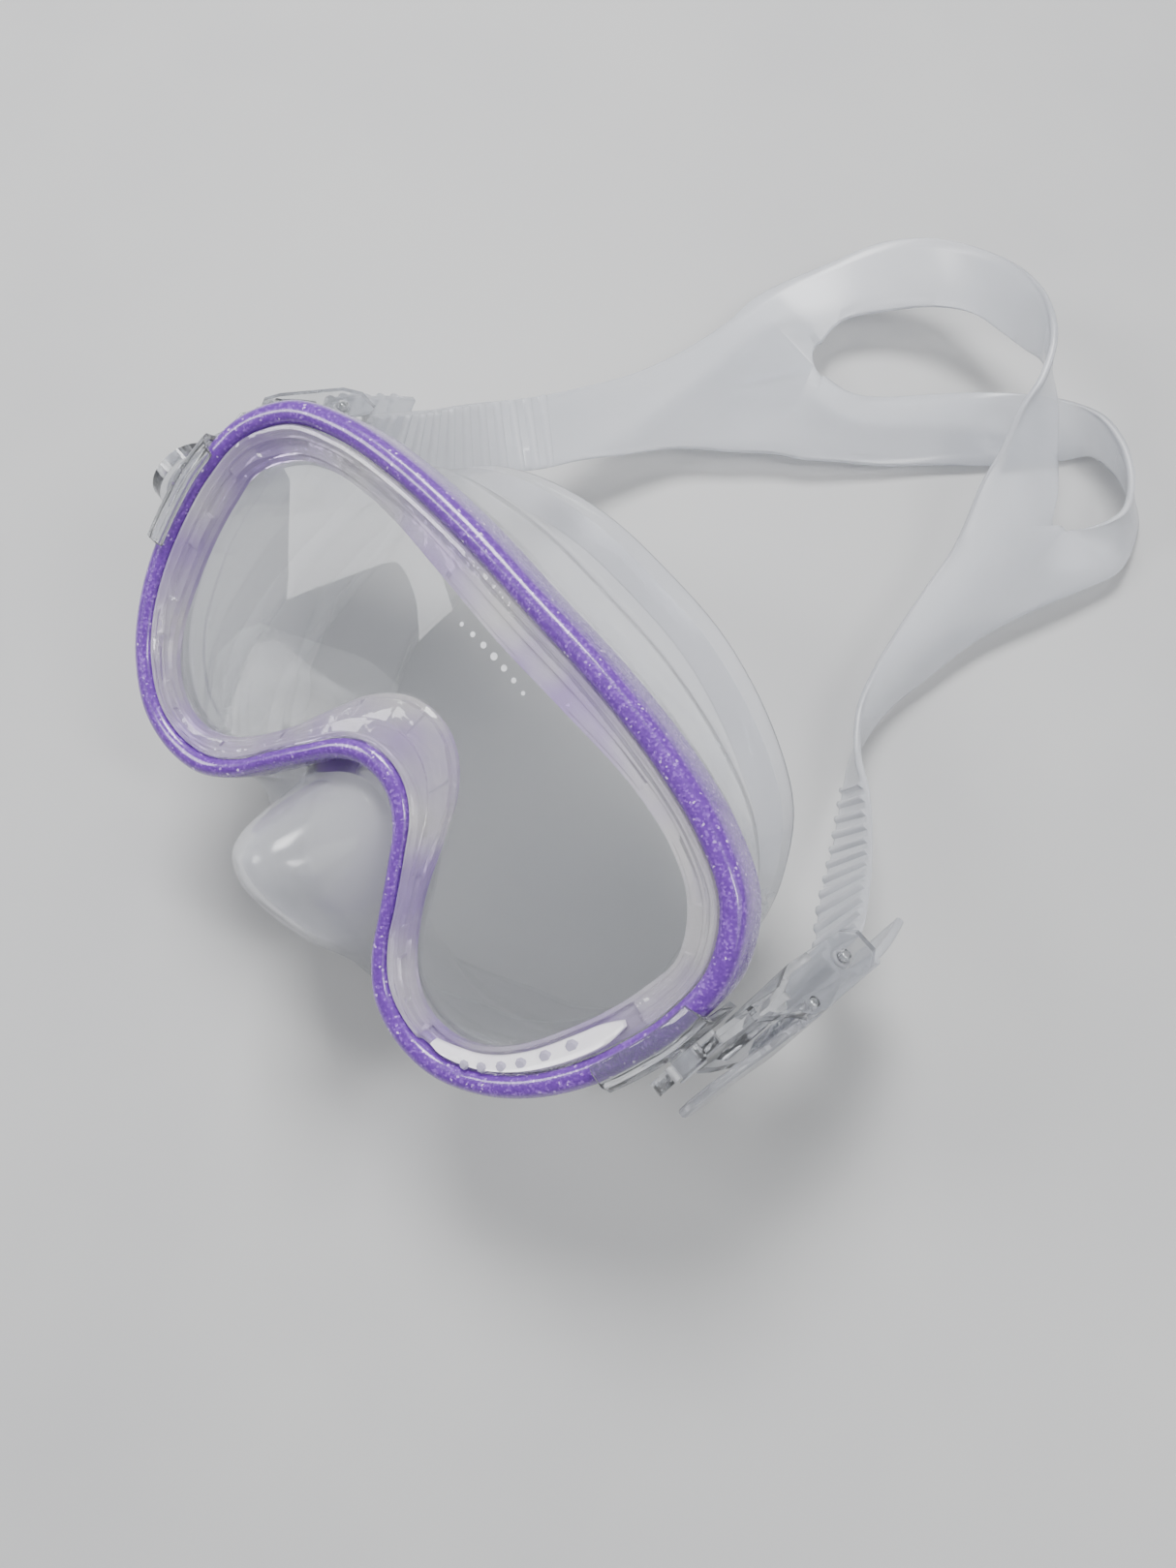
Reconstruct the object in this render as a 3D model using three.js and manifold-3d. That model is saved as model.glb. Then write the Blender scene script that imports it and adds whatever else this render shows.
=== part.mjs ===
// Snorkel mask: single lens, one-piece silicone skirt with nose pocket, clear swivel buckles
// and a split silicone strap. Millimetres, +Z up, resting on its cheek and lip rim.
import * as THREE from "three";
import { mergeVertices } from "three/addons/utils/BufferGeometryUtils.js";
import Module from "manifold-3d";

const wasm = await Module();
wasm.setup();

// ---------- driving dimensions ----------
const TILT = 30.3; // lens normal from vertical, degrees
const LENS_HEIGHT = 68.2; // datum of the lens frame above the table
const OFFSET = [0, -83.5]; // moves the footprint's centre onto the origin
const SUB = 2; // loft stations between two outline points
const FRAME_W = 5.0; // width of the coloured frame
const LENS_INSET = 4.6; // lens edge inside the frame's outer edge
const LENS_FRONT = -3.5;
const LENS_T = 3.2;
const SKIRT_T = 1.6;
const NOSE_HALF = 17.5; // half width of the nose pocket at its root
const STRAP_W = 17;
const STRAP_T = 1.8;
const RIB_H = 0.9;
const ROLLER_R = 2.0;
const ROLLER_L = 42; // roller centre from the swivel pin, along the buckle
const SWIVEL = [79.6, 2.6, LENS_HEIGHT - 4.3]; // centre of the right buckle's eye
const GAP = 0.3;

// Half outlines from the brow's centre to the notch's centre.
const OUTER = [
  [0, 41], [20, 41], [40, 39.3], [55, 36], [67, 30], [74.5, 19], [76, 6], [74.5, -5],
  [71.5, -15.5], [66.5, -25.5], [59.5, -34], [50, -40.3], [40, -42], [31, -40], [24.5, -34.8],
  [19.5, -27.5], [14.5, -20], [9.5, -13.3], [5, -10], [0, -9],
];
const OPENING = [
  [0, 27.5], [18, 28], [37, 28.2], [50, 26], [59, 21.5], [65, 13], [64.8, 5], [63.5, -3],
  [60.5, -13], [56.5, -22.5], [51.5, -29], [45, -32.7], [38, -33], [31.5, -29.5], [26.5, -24],
  [22, -17], [17.5, -7], [13, 1.5], [7, 6.8], [0, 8.5],
];
const RIM = [
  [0, 53, -46], [20, 52, -45], [40, 46, -46.5], [54, 37, -51], [62, 25, -56], [66, 14, -61],
  [67.5, 3, -64.5], [69, -8, -66.5], [68.5, -20, -65.5], [66, -31, -61], [61, -41, -55.5],
  [52, -50, -50], [42, -55.5, -47], [33, -59, -45], [26, -61, -43.8], [20, -62.5, -43],
  [15, -63.5, -42], [10, -64.3, -41.5], [5, -64.8, -41], [0, -65, -41],
];
// Inner seal of the skirt at the same stations: how far in, how far forward of the rim.
const SEAL = [
  [9, 5], [9, 5], [9, 5.5], [9, 7], [9, 8.5], [9, 9.5], [9, 10], [9, 10], [9, 9], [9, 8],
  [9.5, 6], [10, 4], [10, 2.5], [8.5, 1.5], [7, 1], [6, 0.6], [6, 0.6], [6, 0.6], [6, 0.6], [6, 0.6],
];
// Wall stations from lens to rim, and the nose pocket's rise above the straight wall.
const WALL = [0, 0.07, 0.14, 0.27, 0.38, 0.49, 0.6, 0.69, 0.8, 0.91, 1];
const NOSE_RISE = [0, 8.3, 16.4, 29.4, 37.3, 40.2, 34.6, 25.4, 14.8, 4.2, 0];

// ---------- frames ----------
const V3 = (x, y, z) => new THREE.Vector3(x, y, z);
const rad = THREE.MathUtils.degToRad;
const shift = new THREE.Matrix4().makeTranslation(OFFSET[0], OFFSET[1], 0);
const lensFrame = new THREE.Matrix4().makeTranslation(OFFSET[0], OFFSET[1], LENS_HEIGHT)
  .multiply(new THREE.Matrix4().makeRotationX(rad(TILT)));
const ALONG = V3(0.1, 0.8, -0.59).normalize(); // the buckle's length
const ACROSS = V3(0, 0.593, 0.805).normalize(); // the roller's axis
const OUTWARD = V3().crossVectors(ALONG, ACROSS);
const buckleFrame = new THREE.Matrix4().makeBasis(ALONG, ACROSS, OUTWARD)
  .setPosition(...SWIVEL).premultiply(shift);
const MIRROR = new THREE.Matrix4().makeTranslation(OFFSET[0], 0, 0)
  .scale(V3(-1, 1, 1)).multiply(new THREE.Matrix4().makeTranslation(-OFFSET[0], 0, 0));

// ---------- geometry helpers ----------
// A closed curve through a half outline and its mirror image, read by station number.
function closedCurve(half) {
  const pts = half.map(([u, v, w = 0]) => V3(u, v, w));
  const back = pts.slice(1, -1).reverse().map((p) => V3(-p.x, p.y, p.z));
  const curve = new THREE.CatmullRomCurve3([...pts, ...back], true, "centripetal");
  const n = curve.points.length;
  return (f) => curve.getPoint((((f % n) + n) % n) / n);
}
const outerAt = closedCurve(OUTER);
const openingAt = closedCurve(OPENING);
const rimAt = closedCurve(RIM);
const sealAt = closedCurve(SEAL.map(([a, b]) => [0, a, b]));
const STATIONS = 2 * (OUTER.length - 1);
const ringStations = Array.from({ length: STATIONS * SUB }, (_, i) => i / SUB);

// A point of the frame's section: s inward from the outer edge, w forward.
function section(f) {
  const o = outerAt(f);
  const inward = openingAt(f).sub(o);
  const depth = inward.length();
  inward.normalize();
  return { depth, at: (s, w) => V3(o.x + inward.x * s, o.y + inward.y * s, w) };
}

function geometryOf(points, faces) {
  const g = new THREE.BufferGeometry();
  g.setAttribute("position", new THREE.Float32BufferAttribute(points.flatMap((p) => p.toArray()), 3));
  g.setIndex(faces.flat());
  return g;
}

// Skin over rows of points; each row is a closed section. The rows close on themselves,
// or end in flat caps.
function loft(rows, closed = false) {
  const n = rows[0].length;
  const faces = [];
  const last = closed ? rows.length : rows.length - 1;
  for (let i = 0; i < last; i++) {
    const a = i * n, b = ((i + 1) % rows.length) * n;
    for (let j = 0; j < n; j++) {
      const k = (j + 1) % n;
      faces.push([a + j, b + j, b + k], [a + j, b + k, a + k]);
    }
  }
  if (!closed) {
    const end = (rows.length - 1) * n;
    for (const [row, base, flip] of [[rows[0], 0, false], [rows.at(-1), end, true]]) {
      for (const t of capOf(row)) {
        const [a, b, c] = t.map((i) => base + i);
        faces.push(flip ? [a, c, b] : [a, b, c]);
      }
    }
  }
  return outward(geometryOf(rows.flat(), faces));
}

// Triangles filling a closed, nearly flat row of points, facing against its own normal.
function capOf(row) {
  const c = row.reduce((s, p) => s.add(p), V3()).divideScalar(row.length);
  const n = V3();
  row.forEach((p, i) => n.add(V3().crossVectors(p.clone().sub(c), row[(i + 1) % row.length].clone().sub(c))));
  n.normalize();
  const x = row[1].clone().sub(row[0]).projectOnPlane(n).normalize();
  const y = V3().crossVectors(n, x);
  const flat = row.map((p) => new THREE.Vector2(p.dot(x), p.dot(y)));
  return THREE.ShapeUtils.triangulateShape(flat, []);
}

const plain = (g) => {
  const c = g.clone();
  for (const name of ["normal", "uv"]) c.deleteAttribute(name);
  return mergeVertices(c, 1e-4);
};

// Turns the faces round where a skin came out facing inwards.
function outward(g) {
  const m = plain(g), p = m.attributes.position, idx = m.index.array;
  let six = 0;
  const v = [V3(), V3(), V3()];
  for (let i = 0; i < idx.length; i += 3) {
    v.forEach((q, k) => q.fromBufferAttribute(p, idx[i + k]));
    six += v[0].dot(V3().crossVectors(v[1], v[2]));
  }
  if (six < 0) for (let i = 0; i < idx.length; i += 3) [idx[i + 1], idx[i + 2]] = [idx[i + 2], idx[i + 1]];
  return m;
}

function solid(g) {
  const m = outward(g);
  return new wasm.Manifold(new wasm.Mesh({
    numProp: 3, vertProperties: new Float32Array(m.attributes.position.array), triVerts: new Uint32Array(m.index.array),
  }));
}

function fromSolid(s) {
  const m = s.getMesh();
  const g = new THREE.BufferGeometry();
  g.setAttribute("position", new THREE.BufferAttribute(Float32Array.from(m.vertProperties), 3));
  g.setIndex(Array.from(m.triVerts));
  return g;
}
const cut = (g, ...tools) => fromSolid(tools.reduce((s, t) => s.subtract(solid(t)), solid(g)));
const join = (g, ...more) => fromSolid(more.reduce((s, t) => s.add(solid(t)), solid(g)));

const box = (x0, x1, y0, y1, z0, z1) =>
  new THREE.BoxGeometry(x1 - x0, y1 - y0, z1 - z0).translate((x0 + x1) / 2, (y0 + y1) / 2, (z0 + z1) / 2);
// Cylinder between two distances along X, Y or Z.
function rod(axis, r, a, b, c = [0, 0, 0], seg = 20) {
  const g = new THREE.CylinderGeometry(r, r, b - a, seg).translate(0, (a + b) / 2, 0);
  if (axis === "x") g.rotateZ(-Math.PI / 2);
  if (axis === "z") g.rotateX(Math.PI / 2);
  return g.translate(...c);
}
// Flat outline in the (x, z) plane, pulled along y from y0 to y1.
function slab(outline, y0, y1) {
  const shape = new THREE.Shape(outline.map(([x, z]) => new THREE.Vector2(x, z)));
  const g = new THREE.ExtrudeGeometry(shape, { depth: y1 - y0, bevelEnabled: false });
  return g.rotateX(Math.PI / 2).translate(0, y1, 0);
}
// Flat outline in the (x, y) plane, pulled along z from z0 to z1.
function plate(outline, z0, z1, bevel = 0) {
  const shape = new THREE.Shape(outline.map(([x, y]) => new THREE.Vector2(x, y)));
  const g = new THREE.ExtrudeGeometry(shape, {
    depth: z1 - z0 - 2 * bevel, bevelEnabled: bevel > 0, bevelSize: bevel, bevelThickness: bevel,
    bevelOffset: -bevel, bevelSegments: 1,
  });
  return g.translate(0, 0, z0 + bevel);
}

const mask = new THREE.Group();
function add(name, geometry, color, roughness, extra = {}) {
  const g = geometry.index ? geometry.toNonIndexed() : geometry;
  g.computeVertexNormals();
  const material = new THREE.MeshStandardMaterial({ color, roughness, metalness: 0, ...extra });
  const mesh = new THREE.Mesh(g, material);
  mesh.name = name;
  mask.add(mesh);
  return mesh;
}
const CLEAR = { transparent: true, opacity: 0.35 };
const MILKY = { transparent: true, opacity: 0.6 };

// ---------- lens and frame ----------
const ring = (profile) => loft(ringStations.map((f, i) => profile(section(f), f, i)), true)
  .applyMatrix4(lensFrame);

const frameRing = ring(({ at }) => [
  at(0, -9.4), at(1.2, -9.4), at(1.2, -3.2), at(FRAME_W, -3.2), at(FRAME_W, 0.9),
  at(4.2, 1.7), at(2.6, 2.0), at(1.0, 1.3), at(0.2, -0.2), at(0, -2),
]);
add("front_frame", frameRing, 0xa36fd6, 0.35);

const lensBack = LENS_FRONT - LENS_T;
const lensRows = [[0.4, lensBack], [0, lensBack + 0.4], [0, LENS_FRONT - 0.4], [0.4, LENS_FRONT]]
  .map(([inset, w]) => ringStations.map((f) => section(f).at(LENS_INSET + inset, w)));
add("lens", loft(lensRows).applyMatrix4(lensFrame), 0xe8ecf0, 0.05, { transparent: true, opacity: 0.25 });

// Height of the clear inner ring's sloping face.
const INLAY = [6.8, 11.2]; // stations between which the pale inlay lies
const RECESS = 1.4;
function slope(s, depth) {
  const knots = [[5.3, 1.0], [6.1, 1.5], [(depth + 3.9) / 2, 0.8], [depth - 2.2, -0.5], [depth, -1.9]];
  for (let i = 1; i < knots.length; i++) {
    const [s0, w0] = knots[i - 1], [s1, w1] = knots[i];
    if (s <= s1) return w0 + ((w1 - w0) * (s - s0)) / (s1 - s0);
  }
  return knots.at(-1)[1];
}
const inRecess = (f) => f > INLAY[0] - 0.5 && f < INLAY[1] + 0.5;
const bezel = ring(({ at, depth }, f, i) => {
  const drop = inRecess(f) ? RECESS : 0;
  const tab = drop === 0 && i % 6 < 2 ? 0.5 : 0;
  const top = (s, lift = 0) => at(s, slope(s, depth) - drop + lift);
  return [
    at(5.3, -3.2), top(5.3), top(6.1), top((depth + 3.9) / 2), top(depth - 2.2, tab),
    at(depth - 1.0, drop ? -2.4 : -1.4 + tab), at(depth, -2.4), at(depth, -3.2),
  ];
});
add("inner_bezel", bezel, 0xd9c8ee, 0.08, CLEAR);

const GEMS = [[10.25, 1.0], [9.85, 1.1], [9.4, 1.2], [8.95, 1.3], [8.45, 1.4], [7.9, 1.5]];
const inlayRows = [];
for (let f = INLAY[0]; f <= INLAY[1] + 1e-6; f += 0.2) {
  const { at, depth } = section(f);
  const edge = Math.min(f - INLAY[0], INLAY[1] - f) / 0.7;
  const fill = edge >= 1 ? 1 : 0.35 + 0.65 * Math.sin((edge * Math.PI) / 2);
  const mid = (5.7 + depth - 1.5) / 2, half = ((depth - 1.5 - 5.7) / 2) * fill;
  const across = [-1, -0.35, 0.35, 1].map((k) => mid + k * half);
  inlayRows.push([
    ...across.map((s) => at(s, slope(s, depth) - RECESS + 0.45)),
    ...across.reverse().map((s) => at(s, slope(s, depth) + 0.2)),
  ]);
}
const gemSeat = (f) => {
  const { at, depth } = section(f);
  const s = depth - 3.2;
  return at(s, slope(s, depth));
};
const seats = GEMS.map(([f, r]) => {
  const p = gemSeat(f);
  return rod("z", r + 0.15, -0.45, 2, p.toArray(), 12);
});
add("pearl_inlay", cut(loft(inlayRows), ...seats).applyMatrix4(lensFrame), 0xf0ecf0, 0.3);
GEMS.forEach(([f, r], i) => {
  const p = gemSeat(f);
  const profile = [[0, -0.3], [r * 0.75, -0.3], [r, 0.25], [r * 0.62, 0.8], [0, 0.8]];
  const gem = new THREE.LatheGeometry(profile.map(([x, y]) => new THREE.Vector2(x, y)), 8)
    .rotateX(Math.PI / 2).translate(...p.toArray()).applyMatrix4(lensFrame);
  add(`gem_${i + 1}`, outward(gem), 0xffffff, 0.02, CLEAR);
});

// ---------- skirt ----------
function skirtWall(f) {
  const { at } = section(f);
  const k = Math.min(f, STATIONS - f);
  const side = Math.abs(outerAt(f).x) / NOSE_HALF;
  const nose = k > 13 && side < 1 ? Math.sqrt(1 - side * side) : 0;
  const step = THREE.MathUtils.smoothstep(k, 13.5, 16.5);
  const start = at(1.9 - 3.1 * step, -10.1);
  const rim = rimAt(f);
  const inward = openingAt(f).sub(outerAt(f)).normalize();
  return WALL.map((t, j) => {
    const p = start.clone().lerp(rim, t);
    p.z += nose * NOSE_RISE[j];
    return p.addScaledVector(inward, (1 - step) * 3.2 * Math.sin(Math.PI * t));
  });
}
const walls = ringStations.map(skirtWall);
function wallNormal(i, j) {
  const n = walls.length;
  const a = walls[(i + 1) % n][j].clone().sub(walls[(i + n - 1) % n][j]);
  const b = walls[i][Math.min(j + 1, WALL.length - 1)].clone().sub(walls[i][Math.max(j - 1, 0)]);
  return V3().crossVectors(a, b).normalize();
}
const skirtRows = ringStations.map((f, i) => {
  const { at } = section(f);
  const rim = rimAt(f);
  const tangent = rimAt(f + 0.4).sub(rimAt(f - 0.4));
  const inward = V3(tangent.y, -tangent.x, 0).normalize();
  const { y: reach, z: rise } = sealAt(f);
  const seal = (r, w) => rim.clone().addScaledVector(inward, r).add(V3(0, 0, w));
  const inner = (j) => walls[i][j].clone().addScaledVector(wallNormal(i, j), -SKIRT_T);
  return [
    at(1.5, -3.6), at(1.5, -9.0), ...walls[i],
    seal(0.9, -0.1), seal(reach * 0.55, rise * 0.4), seal(reach, rise),
    seal(reach + 0.1, rise + 0.9), seal(reach * 0.55, rise * 0.4 + 1.3),
    ...[9, 8, 7, 6, 5, 4, 3, 2, 1].map(inner),
    at(8.2, -8.8), at(8.2, -7.0), at(4.3, -7.0), at(4.3, -3.6),
  ];
});
const ground = box(-200, 200, -200, 200, -60, 0);
add("face_skirt", cut(loft(skirtRows, true).applyMatrix4(lensFrame), ground), 0xb8bcc4, 0.3, MILKY);

// ---------- buckles ----------
const eyeAt = V3(...SWIVEL).applyMatrix4(shift).toArray();
const armOutline = [
  [11, -1.3], [20, -1.4], [26, -4.2], [46, -4.8], [50, -2.8], [50.5, 2.2], [46.5, 4.8],
  [36, 6.0], [28, 6.8], [23, 6.4], [20, 4.2], [14, 2.6], [11, 1.3],
];
const neck = [[4, -6.5], [11, -9.5], [16, -11.2], [22, -11.2], [22, 11.2], [16, 11.2], [11, 9.5], [4, 6.5]];
const PIN = [25.5, 4.4]; // lever pin, along and outward
const PIN_R = 0.9;
function buckleBody() {
  const arms = [slab(armOutline, 8.9, 11.3), slab(armOutline, -11.3, -8.9)];
  const floor = slab([[20, -1.4], [26, -4.2], [34, -4.4], [34, -2.9], [26.5, -2.6], [20, 0.6]], -9, 9);
  const deck = plate(neck, -1.3, 1.3);
  const ridge = slab([[15, 1.2], [17, 2.6], [19.5, 2.6], [20.5, 1.2]], -9, 9);
  const housing = join(deck, ...arms, floor, ridge).applyMatrix4(buckleFrame);
  const eye = rod("x", 7.6, -1.4, 1.4, eyeAt, 32);
  const bores = [
    rod("y", PIN_R + GAP, -12, 12, [ROLLER_L, 0, 0], 16),
    rod("y", PIN_R + GAP, -12, 12, [PIN[0], 0, PIN[1]], 16),
  ].map((g) => g.applyMatrix4(buckleFrame));
  return cut(join(housing, eye), ...bores, rod("x", 2.6, -6, 6, eyeAt, 24));
}
function lever() {
  const [l, z] = PIN;
  const pad = plate([
    [l - 2, -8], [l - 9, -9], [l - 14, -13.5], [l - 19.5, -14.6], [l - 23.8, -11.6], [l - 25, -6.5],
    [l - 23, -1.5], [l - 17, 1.8], [l - 10, 4.5], [l - 8, 8], [l - 2, 8],
  ], z + 0.7, z + 2.6, 0.45);
  const pawl = slab([
    [l - 3.5, z + 2.5], [l - 2.8, z - 0.6], [l + 1, z - 2.2], [l + 5, z - 1.6], [l + 11.2, z - 1.2],
    [l + 11.6, z - 0.5], [l + 6, z + 1.6], [l + 2, z + 2.5],
  ], -8.4, 8.4);
  const notch = box(l - 2.3, l + 2.3, -2.4, 2.4, z - 4, z);
  const well = rod("y", 2.15, -2.4, 2.4, [l, 0, z], 20);
  const bore = rod("y", PIN_R + GAP, -12, 12, [l, 0, z], 16);
  return cut(join(pad, pawl), notch, well, bore).applyMatrix4(buckleFrame);
}
function spring() {
  const turns = 3, steps = 12 * turns;
  const path = new THREE.CatmullRomCurve3(Array.from({ length: steps + 1 }, (_, i) => {
    const a = (i / 12) * 2 * Math.PI;
    return V3(PIN[0] + 1.5 * Math.cos(a), -1.8 + (3.6 * i) / steps, PIN[1] + 1.5 * Math.sin(a));
  }));
  const wire = new THREE.Shape(Array.from({ length: 6 }, (_, i) =>
    new THREE.Vector2(0.3 * Math.cos((i * Math.PI) / 3), 0.3 * Math.sin((i * Math.PI) / 3))));
  return new THREE.ExtrudeGeometry(wire, { steps, extrudePath: path, bevelEnabled: false })
    .applyMatrix4(buckleFrame);
}
function bracket() {
  const rows = [];
  for (let f = 5.6; f < 7.95; f += 0.3) {
    const { at } = section(f);
    rows.push([
      at(-0.4, -13), at(-0.4, 0.4), at(0.5, 1.75), at(2.6, 2.4), at(3.9, 2.2), at(3.9, 3.0),
      at(2.4, 3.5), at(-0.6, 2.7), at(-2.1, 0.6), at(-2.1, -13),
    ]);
  }
  return cut(loft(rows).applyMatrix4(lensFrame), rod("x", 2.5, -8, 8, eyeAt, 24));
}
const groove = (r) => [
  [0, -8.5], [r, -8.5], [r, -3.2], [r - 0.35, -2.8], [r - 0.35, 2.8], [r, 3.2], [r, 8.5], [0, 8.5],
];
const roller = () => cut(
  outward(new THREE.LatheGeometry(groove(ROLLER_R).map(([x, y]) => new THREE.Vector2(x, y)), 24)),
  rod("y", PIN_R + GAP, -10, 10, [0, 0, 0], 16),
).translate(ROLLER_L, 0, 0).applyMatrix4(buckleFrame);
const swivelPin = () => join(
  rod("x", 2.2, eyeAt[0] - 3.3 - OFFSET[0], eyeAt[0] + 2.2 - OFFSET[0], [OFFSET[0], eyeAt[1], eyeAt[2]], 20),
  rod("x", 3.2, eyeAt[0] + 1.7 - OFFSET[0], eyeAt[0] + 2.3 - OFFSET[0], [OFFSET[0], eyeAt[1], eyeAt[2]], 20),
);
const axle = (l, z, r) => rod("y", r, -11.2, 11.2, [l, 0, z], 16).applyMatrix4(buckleFrame);

const buckleParts = [
  ["buckle_bracket", bracket(), 0xd8dcea, 0.1, CLEAR],
  ["swivel_pin", swivelPin(), 0xe4e6ea, 0.2, {}],
  ["buckle_body", buckleBody(), 0xe2e6ee, 0.08, CLEAR],
  ["strap_roller", roller(), 0xe8eaf0, 0.2, {}],
  ["roller_axle", axle(ROLLER_L, 0, PIN_R), 0xc8ccd0, 0.3, { metalness: 1 }],
  ["release_lever", lever(), 0xdadeea, 0.12, CLEAR],
  ["lever_pin", axle(...PIN, PIN_R), 0xc8ccd0, 0.3, { metalness: 1 }],
  ["lever_spring", spring(), 0xb8bcc0, 0.3, { metalness: 1 }],
];
for (const [name, g, color, roughness, extra] of buckleParts) {
  add(`${name}_right`, outward(g), color, roughness, extra);
  add(`${name}_left`, outward(g.clone().applyMatrix4(MIRROR)), color, roughness, extra);
}

// ---------- strap ----------
// Each station is a pair of edges: the upper one, then the lower one.
// Through the buckle: the loose tail, round the roller, and out along the inner side.
const wrapR = ROLLER_R + GAP + STRAP_T / 2;
const wrap = [90, 120, 150, 180, 210, 240, 270].map((a) => [
  ROLLER_L + wrapR * Math.cos(rad(a)), wrapR * Math.sin(rad(a)),
]);
const threaded = [[68, -0.4], [62, 1.4], [56, 2.7], [51, 3.2], [47, wrapR], ...wrap, [48, -wrapR], [54, -wrapR]]
  .map(([l, z]) => [1, -1].map((side) =>
    V3(l, (side * STRAP_W) / 2, z).applyMatrix4(buckleFrame).sub(V3(...OFFSET, 0))));
const pairs = (list) => list.map(([a, b]) => [V3(...a), V3(...b)]);
const mirrored = (list) => list.map((pair) => pair.map((p) => V3(-p.x, p.y, p.z)));
const leftTongue = [...mirrored(threaded), ...pairs([
  [[-78, 61, 35], [-75, 53, 20.5]], [[-75, 71, 32], [-66.5, 64, 19]], [[-71, 85, 26], [-57.5, 77, 17.5]],
  [[-68, 100, 20], [-54, 89, 14]], [[-65, 116, 15], [-49, 102, 10]], [[-64, 132, 11], [-43, 114, 8]],
  [[-64, 150, 9], [-34, 124, 7]], [[-65, 160, 9], [-26, 133, 6.5]],
])];
const rightTongue = [...threaded, ...pairs([
  [[76, 61, 33.5], [73, 53.5, 18.5]], [[69.5, 70, 27], [65, 67, 11]], [[60, 79.5, 22.5], [56, 80.5, 6]],
  [[50.5, 87, 17.5], [49, 92, 1.4]], [[43, 95, 16.5], [45.5, 106, 2.6]], [[38, 105, 15.5], [46, 121, 4]],
  [[34, 117, 15], [47, 137, 5]], [[30, 131, 15], [51, 154, 6]], [[27, 144, 16.5], [55, 168, 5.5]],
])];
const upperBand = pairs([
  [[-64, 149, 9], [-47, 134, 8]], [[-65, 160, 9], [-40, 152, 7.8]], [[-64, 168, 9.5], [-43, 166, 8.5]],
  [[-59, 182, 12], [-44, 175, 9.5]], [[-53, 195, 16], [-38, 185, 11]], [[-43, 203, 21], [-30, 193, 14]],
  [[-31, 206, 26], [-20, 198, 17]], [[-17, 206, 31], [-10, 199, 18]], [[-5, 202, 34], [-2, 199, 19]],
  [[5, 194, 35], [4, 199, 20]], [[11, 184, 33.5], [9, 196, 20]], [[13, 176, 31], [16, 191, 19]],
  [[17, 167, 27], [24, 183, 17.5]], [[20, 158, 22.5], [32, 176, 15.5]], [[24, 150, 19], [38, 169, 13]],
  [[27, 143, 16.5], [42, 157, 10.5]], [[30, 131, 15], [42, 145, 10]],
]);
const lowerBand = pairs([
  [[-51, 138, 8], [-34, 124, 7]], [[-43, 154, 8], [-26, 133, 6.5]], [[-34, 159, 8], [-20, 138, 6]],
  [[-26, 161, 7.5], [-13, 146, 5]], [[-20, 166, 7.5], [-6, 154, 3.5]], [[-11, 177, 8.5], [3, 166, 2.5]],
  [[-2, 187, 10], [11, 176, 1.8]], [[7, 194, 12.5], [18, 186, 1.2]], [[16, 199, 14.5], [24, 195, 1]],
  [[25, 201, 16], [28, 202, 1]], [[35, 198, 16.5], [35, 203, 1]], [[43, 192, 16], [42, 201, 1]],
  [[47, 186, 14.5], [50, 195, 1.6]], [[46, 180, 13], [55, 186, 3]], [[42, 173, 12], [57, 178, 4.4]],
  [[37, 157, 11.5], [55, 168, 5.5]], [[37, 144, 10.5], [51, 154, 6]],
]);

// A ribbon through its stations; ribs stand on one face between two arc lengths.
function ribbon(stations, { per = 3, thick = STRAP_T, trim = 0, ribs = null } = {}) {
  const edges = [0, 1].map((k) =>
    new THREE.CatmullRomCurve3(stations.map((s) => s[k]), false, "centripetal"));
  const whole = Math.round((stations.length - 1) * per);
  let params = Array.from({ length: whole + 1 }, (_, i) => i / whole);
  const mid = (t) => edges[0].getPoint(t).add(edges[1].getPoint(t)).multiplyScalar(0.5);
  const lengths = [0];
  const FINE = 400;
  for (let i = 1; i <= FINE; i++) {
    lengths.push(lengths[i - 1] + mid(i / FINE).distanceTo(mid((i - 1) / FINE)));
  }
  const paramAt = (len) => {
    const i = lengths.findIndex((l) => l >= len);
    return (i - 1 + (len - lengths[i - 1]) / (lengths[i] - lengths[i - 1])) / FINE;
  };
  const height = new Map();
  if (ribs) {
    const from = paramAt(ribs.from), to = paramAt(ribs.to);
    params = params.filter((t) => t < from || t > to);
    for (let len = ribs.from; len < ribs.to - ribs.pitch / 2; len += ribs.pitch) {
      [0, 0.12, 0.5, 0.62].forEach((k, n) => {
        const t = paramAt(len + k * ribs.pitch);
        params.push(t);
        height.set(t, n === 1 || n === 2 ? RIB_H : 0);
      });
    }
    params.sort((a, b) => a - b);
  }
  const rows = params.map((t) => {
    const [a, b] = edges.map((e) => e.getPoint(t));
    const ahead = mid(Math.min(t + 2e-3, 1)).sub(mid(Math.max(t - 2e-3, 0))).normalize();
    const across = a.clone().sub(b).normalize();
    const up = V3().crossVectors(ahead, across).normalize();
    a.addScaledVector(across, -trim);
    b.addScaledVector(across, trim);
    const h = (height.get(t) ?? 0) * (ribs ? ribs.side : 0);
    const lift = (p, k) => p.clone().addScaledVector(up, k);
    return [
      lift(a, thick / 2 + Math.max(h, 0)), lift(b, thick / 2 + Math.max(h, 0)),
      lift(b, -thick / 2 + Math.min(h, 0)), lift(a, -thick / 2 + Math.min(h, 0)),
    ];
  });
  return loft(rows);
}
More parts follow.
